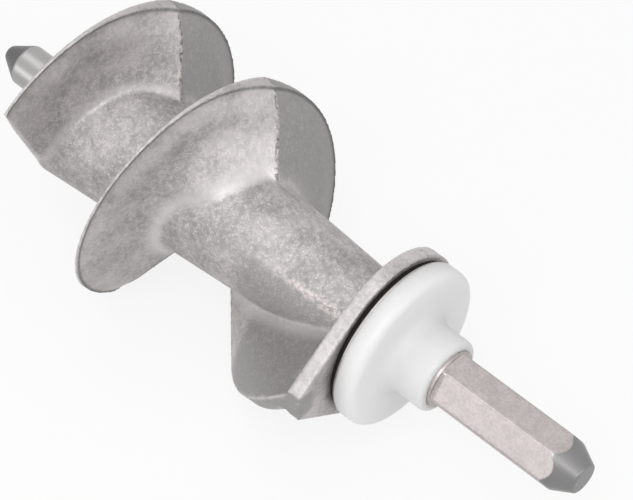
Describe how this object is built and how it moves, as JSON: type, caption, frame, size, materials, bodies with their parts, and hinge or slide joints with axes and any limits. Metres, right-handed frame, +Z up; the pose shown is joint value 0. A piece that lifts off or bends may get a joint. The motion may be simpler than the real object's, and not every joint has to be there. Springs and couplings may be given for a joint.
{
  "type": "meat grinder auger",
  "caption": "Tapered die-cast screw that pushes meat through a grinder, with a hexagonal steel drive shaft, a plastic bearing bush and a steel spindle for the knife and hole plate.",
  "frame": {"origin": "on the surface the auger lies on, under the middle of its box", "axes": "+X along the screw towards the knife end, +Z up as it lies on the taper of its flight"},
  "size_m": [0.143, 0.0538, 0.0553],
  "materials": {
    "cast_aluminium": "satin, as tumbled after casting",
    "steel": "bright drawn bar with turned ends",
    "white_plastic": "smooth moulded",
    "black_rubber": "matt"
  },
  "bodies": {
    "root": {"auger_body": "cast_aluminium", "drive_shaft": "steel", "knife_spindle": "steel", "thrust_bush": "white_plastic", "thrust_washer": "steel", "seal_ring": "black_rubber"}
  },
  "joints": []
}
